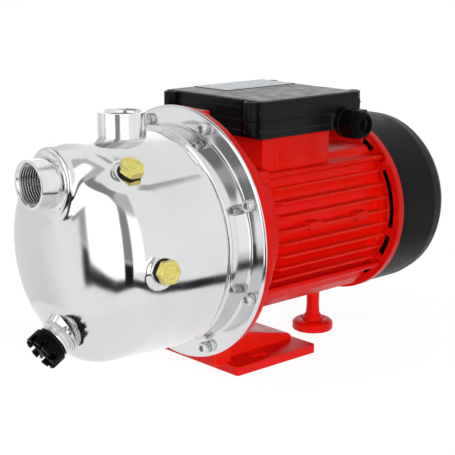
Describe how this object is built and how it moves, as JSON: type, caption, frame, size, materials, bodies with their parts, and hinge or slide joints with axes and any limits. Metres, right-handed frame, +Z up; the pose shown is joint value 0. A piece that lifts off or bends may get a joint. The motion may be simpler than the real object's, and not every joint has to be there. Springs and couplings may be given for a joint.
{
  "type": "shallow well jet pump",
  "caption": "Self-priming jet pump: round stainless casing with threaded suction and discharge sockets, cast bracket and foot, finned motor, fan cover and terminal box.",
  "frame": {"origin": "centre of the base foot's underside, which is the surface the pump stands on", "axes": "+Z up, +X along the shaft from the suction port towards the fan, so the cable gland and the gauge plug face -Y"},
  "size_m": [0.4095, 0.2132, 0.2315],
  "materials": {
    "polished_stainless": "mirror polished stainless steel",
    "bolt_steel": "bright stainless screws",
    "shaft_steel": "ground steel",
    "lamination_steel": "dark laminated steel",
    "copper": "varnished copper windings",
    "brass": "machined brass",
    "red_paint": "glossy red paint on cast aluminium",
    "black_plastic": "satin black moulding",
    "engineering_plastic": "glass-filled moulding",
    "light_plastic": "off-white moulding",
    "black_rubber": "dull black rubber",
    "ceramic": "lapped ceramic",
    "label_aluminium": "blank silver label"
  },
  "bodies": {
    "pump": {"pump_casing": "polished_stainless", "suction_socket": "polished_stainless", "discharge_socket": "polished_stainless", "drain_socket": "polished_stainless", "ejector_body": "engineering_plastic", "ejector_nozzle": "brass", "diffuser": "engineering_plastic", "shaft_seal_seat": "ceramic", "seal_plate": "polished_stainless", "casing_o_ring": "black_rubber", "flange_bolt_1": "bolt_steel", "flange_bolt_2": "bolt_steel", "flange_bolt_3": "bolt_steel", "flange_bolt_4": "bolt_steel", "flange_bolt_5": "bolt_steel", "flange_bolt_6": "bolt_steel", "flange_bolt_7": "bolt_steel", "flange_bolt_8": "bolt_steel", "motor_bracket": "red_paint", "base_casting": "red_paint", "rear_foot_leg": "red_paint", "motor_housing": "red_paint", "stator_core": "lamination_steel", "stator_winding_front": "copper", "stator_winding_rear": "copper", "front_bearing_outer": "shaft_steel", "rear_bearing_outer": "shaft_steel", "rear_end_shield": "red_paint", "tie_rod_1": "red_paint", "tie_rod_2": "red_paint", "tie_rod_3": "red_paint", "tie_rod_4": "red_paint", "fan_cover": "black_plastic", "terminal_box_base": "black_plastic", "terminal_box_lid": "black_plastic", "terminal_box_gasket": "black_rubber", "lid_screw_1": "bolt_steel", "lid_screw_2": "bolt_steel", "lid_screw_3": "bolt_steel", "lid_screw_4": "bolt_steel", "rating_plate": "label_aluminium", "capacitor": "light_plastic", "terminal_block": "light_plastic", "gland_body": "black_plastic"},
    "rotor": {"shaft": "shaft_steel", "impeller": "engineering_plastic", "impeller_nut": "brass", "shaft_seal_rotor": "black_rubber", "rotor_core": "lamination_steel", "front_bearing_inner": "shaft_steel", "rear_bearing_inner": "shaft_steel", "fan": "engineering_plastic"},
    "priming_seal": {"priming_plug_seal": "black_rubber"},
    "priming_plug": {"priming_plug": "brass"},
    "gauge_seal": {"gauge_plug_seal": "black_rubber"},
    "gauge_plug": {"gauge_plug": "brass"},
    "drain_seal": {"drain_plug_seal": "black_rubber"},
    "drain_plug": {"drain_plug": "black_plastic"},
    "gland_seal": {"gland_seal": "black_rubber"},
    "gland_nut": {"gland_nut": "black_plastic"}
  },
  "joints": [
    {"name": "rotor_spin", "type": "hinge", "parent": "pump", "child": "rotor", "pos_m": [0, 0, 0.119], "axis": [1, 0, 0], "continuous": true},
    {"name": "priming_lift", "type": "slide", "parent": "pump", "child": "priming_seal", "axis": [0, -0.5878, 0.809], "range_m": [0, 0.00688]},
    {"name": "priming_turn", "type": "hinge", "parent": "priming_seal", "child": "priming_plug", "pos_m": [-0.1555, -0.04908, 0.18655], "axis": [0, -0.5878, 0.809], "range_deg": [0, 1800]},
    {"name": "gauge_lift", "type": "slide", "parent": "pump", "child": "gauge_seal", "axis": [0, -1, 0], "range_m": [0, 0.00688]},
    {"name": "gauge_turn", "type": "hinge", "parent": "gauge_seal", "child": "gauge_plug", "pos_m": [-0.1555, -0.089, 0.119], "axis": [0, -1, 0], "range_deg": [0, 1800]},
    {"name": "drain_lift", "type": "slide", "parent": "pump", "child": "drain_seal", "axis": [-0.866, 0, -0.5], "range_m": [0, 0.00927]},
    {"name": "drain_turn", "type": "hinge", "parent": "drain_seal", "child": "drain_plug", "pos_m": [-0.189, 0, 0.0547], "axis": [-0.866, 0, -0.5], "range_deg": [0, 1800]},
    {"name": "gland_lift", "type": "slide", "parent": "pump", "child": "gland_seal", "axis": [0, -1, 0], "range_m": [0, 0.0062]},
    {"name": "gland_turn", "type": "hinge", "parent": "gland_seal", "child": "gland_nut", "pos_m": [0.0645, -0.0622, 0.206], "axis": [0, -1, 0], "range_deg": [0, 1440]}
  ],
  "couplings": [
    {"joint": "priming_lift", "follows": "priming_turn", "m_per_rad": 0.00021279},
    {"joint": "gauge_lift", "follows": "gauge_turn", "m_per_rad": 0.00021279},
    {"joint": "drain_lift", "follows": "drain_turn", "m_per_rad": 0.00028871},
    {"joint": "gland_lift", "follows": "gland_turn", "m_per_rad": 0.00023873}
  ]
}
